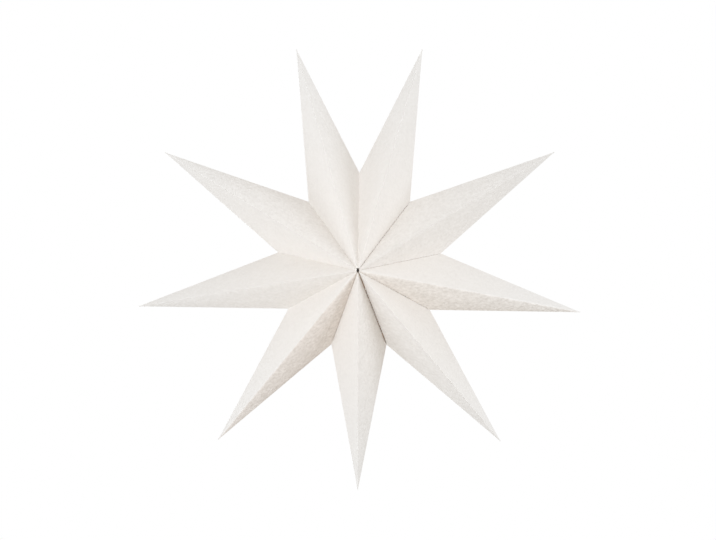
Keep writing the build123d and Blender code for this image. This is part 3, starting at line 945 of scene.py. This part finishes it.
# The three threads of the lamp, in millimetres
THREADS = {
    "bulb_base": {
        "Bottom": -71.0, "Top": -50.0, "Thread Bottom": -66.4, "Thread Top": -51.2,
        "Outer Radius": 6.9, "Inner Radius": 6.5, "Pitch": 2.822, "Depth": 0.7, "Taper": 1.0,
    },
    "screw_shell": {
        "Bottom": -63.0, "Top": -44.1, "Thread Bottom": -62.0, "Thread Top": -45.0,
        "Outer Radius": 7.6, "Inner Radius": 7.15, "Pitch": 2.822, "Depth": -0.45, "Taper": 0.0,
    },
    "cord_inlet_nipple": {
        "Bottom": -26.0, "Top": 0.0, "Thread Bottom": -25.4, "Thread Top": -0.2,
        "Outer Radius": 5.0, "Inner Radius": 3.0, "Pitch": 1.0, "Depth": 0.45, "Taper": 0.6,
    },
}
# How each is made: rolled (1) or cut (0), the share of its rows outside, its rows, metal, body and slot
THREAD_MAKING = {
    "bulb_base": (1.0, 0.47, 150, CAP_METAL, "bulb", "aluminium"),
    "screw_shell": (1.0, 0.47, 150, BRASS, "hanger", "brass"),
    "cord_inlet_nipple": (0.0, 0.86, 270, ZINC_THREAD, "hanger", "steel"),
}
THREADED_TUBE = thread_tree()
for node, sizes in THREADS.items():
    rolled, outer_share, rows, thread_metal, body, slot = THREAD_MAKING[node]
    values = {name: size * MM for name, size in sizes.items()}
    values.update({"Rolled": rolled, "Outer Share": outer_share, "Metal": thread_metal})
    values.update({"Rows": rows, "Columns": THREAD_COLUMNS})
    mesh = mesh_of(THREADED_TUBE, f"{node}_thread", values)
    mesh.set_sharp_from_angle(angle=SHARP_EDGE)
    piece(f"{node}_thread", mesh, body, slot, node)

# The lamp's other pieces keep their solids
FINISHES = {
    "seam_flap_right": PAPER, "seam_flap_front_left": PAPER, "seam_flap_rear_left": PAPER,
    "hook_dots": HOOK_TAPE, "loop_dots_front": LOOP_TAPE, "loop_dots_rear": LOOP_TAPE,
    "hanger": ZINC, "nipple_nut": ZINC_NUT, "holder_cap": HOLDER_PLASTIC, "holder_body": HOLDER_PLASTIC,
    "contact_block": STEATITE, "centre_contact": BRASS, "terminal_screws": BRASS,
    "bulb_insulator": BLACK_GLASS, "bulb_tip_contact": SOLDER, "bulb_glass": BULB_GLASS,
    "bulb_stem": STEM_GLASS, "led_filaments": PHOSPHOR,
}
for node, material in FINISHES.items():
    frame["nodes"][node].data.materials.clear()
    frame["nodes"][node].data.materials.append(material)

# Studio: white around, a pale floor far below, soft lamps at both sides
WHITE = (1, 1, 1)
AMBIENT = 0.586
AMBIENT_TINT = (1.0, 0.94, 0.87)
FLOOR_Z = -2.6
FLOOR_REACH = 6.0
FLOOR_COLOUR = (0.75, 0.75, 0.75)
FLOOR_GLOW = 0.6


def shade(tree, kind, colour, strength=None):
    """A shader of one plain colour."""
    made = tree.nodes.new(kind)
    made.inputs["Color"].default_value = (*colour, 1)
    if strength is not None:
        made.inputs["Strength"].default_value = strength
    return made


def seen_or_lit(tree, seen, lit, output):
    """What the camera sees, straight, mirrored or through glass, apart from what lights the object."""
    path = tree.nodes.new("ShaderNodeLightPath")
    looked_at = path.outputs["Is Camera Ray"]
    for ray in ("Is Glossy Ray", "Is Transmission Ray"):
        either = tree.nodes.new("ShaderNodeMath")
        either.operation = "MAXIMUM"
        tree.links.new(looked_at, either.inputs[0])
        tree.links.new(path.outputs[ray], either.inputs[1])
        looked_at = either.outputs[0]
    mix = tree.nodes.new("ShaderNodeMixShader")
    tree.links.new(looked_at, mix.inputs["Fac"])
    tree.links.new(lit.outputs[0], mix.inputs[1])
    tree.links.new(seen.outputs[0], mix.inputs[2])
    tree.links.new(mix.outputs[0], output)


world = bpy.data.worlds.new("white_studio")
scene.world = world
world.use_nodes = True
sky = world.node_tree
sky.nodes.clear()
seen_sky = shade(sky, "ShaderNodeBackground", WHITE, 1.0)
lit_sky = shade(sky, "ShaderNodeBackground", AMBIENT_TINT, AMBIENT)
sky_out = sky.nodes.new("ShaderNodeOutputWorld")
seen_or_lit(sky, seen_sky, lit_sky, sky_out.inputs["Surface"])

pale = bpy.data.materials.new("pale_floor")
pale.use_nodes = True
ground = pale.node_tree
ground.nodes.clear()
floor_white = shade(ground, "ShaderNodeEmission", WHITE, FLOOR_GLOW)
floor_matte = shade(ground, "ShaderNodeBsdfDiffuse", FLOOR_COLOUR)
seen_floor = ground.nodes.new("ShaderNodeAddShader")
ground.links.new(floor_white.outputs[0], seen_floor.inputs[0])
ground.links.new(floor_matte.outputs[0], seen_floor.inputs[1])
lit_floor = shade(ground, "ShaderNodeEmission", AMBIENT_TINT, AMBIENT)
floor_out = ground.nodes.new("ShaderNodeOutputMaterial")
seen_or_lit(ground, seen_floor, lit_floor, floor_out.inputs["Surface"])
pale.cycles.emission_sampling = "NONE"
floor_mesh = bpy.data.meshes.new("floor")
ways = ((-1, -1), (1, -1), (1, 1), (-1, 1))
floor_mesh.from_pydata([(x * FLOOR_REACH, y * FLOOR_REACH, FLOOR_Z) for x, y in ways], [], [(0, 1, 2, 3)])
floor_mesh.materials.append(pale)
floor = bpy.data.objects.new("floor", floor_mesh)
scene.collection.objects.link(floor)

# Soft boxes, all equally large and far: name, angle from the front, roll round it (0 up, 90 right), power
LAMP_TINT = (0.85, 0.915, 1.0)
LAMP_DISTANCE = 2.2
LAMP_SIZE = 1.2
LAMPS = [
    ("front_left_box", 20.0, 270.0, 17.2),
    ("right_box", 70.0, 90.0, 14.3),
    ("left_low_box", 70.0, 240.0, 8.5),
    ("right_top_box", 70.0, 30.0, 5.35),
    ("left_top_box", 70.0, 330.0, 4.4),
    ("rear_box", 168.0, 315.0, 23.2),
]
for name, off_front, roll, power in LAMPS:
    lamp = bpy.data.lights.new(name, "AREA")
    lamp.shape = "DISK"
    lamp.size = LAMP_SIZE
    lamp.energy = power
    lamp.color = LAMP_TINT
    holder = bpy.data.objects.new(name, lamp)
    turn, rise = radians(off_front), radians(roll)
    away = Vector((sin(turn) * sin(rise), -cos(turn), sin(turn) * cos(rise)))
    holder.location = Vector(HUB) + away * LAMP_DISTANCE
    holder.rotation_euler = away.to_track_quat("Z", "Y").to_euler()
    scene.collection.objects.link(holder)

# Camera at the photograph's angle
CAMERA_AZIMUTH = 1.38
CAMERA_ELEVATION = 3.56
CAMERA_DISTANCE = 2.432
CAMERA_AIM = Vector(HUB) + Vector((-1.76, 0, -4.04)) * MM
CAMERA_LENS = 90.55
CAMERA_SENSOR = 36
camera = bpy.data.cameras.new("camera")
camera.lens = CAMERA_LENS
camera.sensor_width = CAMERA_SENSOR
camera.sensor_fit = "HORIZONTAL"
camera.clip_end = 50
viewer = bpy.data.objects.new("camera", camera)
turn, rise = radians(CAMERA_AZIMUTH), radians(CAMERA_ELEVATION)
back = Vector((sin(turn) * cos(rise), -cos(turn) * cos(rise), sin(rise)))
viewer.location = CAMERA_AIM + back * CAMERA_DISTANCE
viewer.rotation_euler = back.to_track_quat("Z", "Y").to_euler()
scene.collection.objects.link(viewer)
scene.camera = viewer
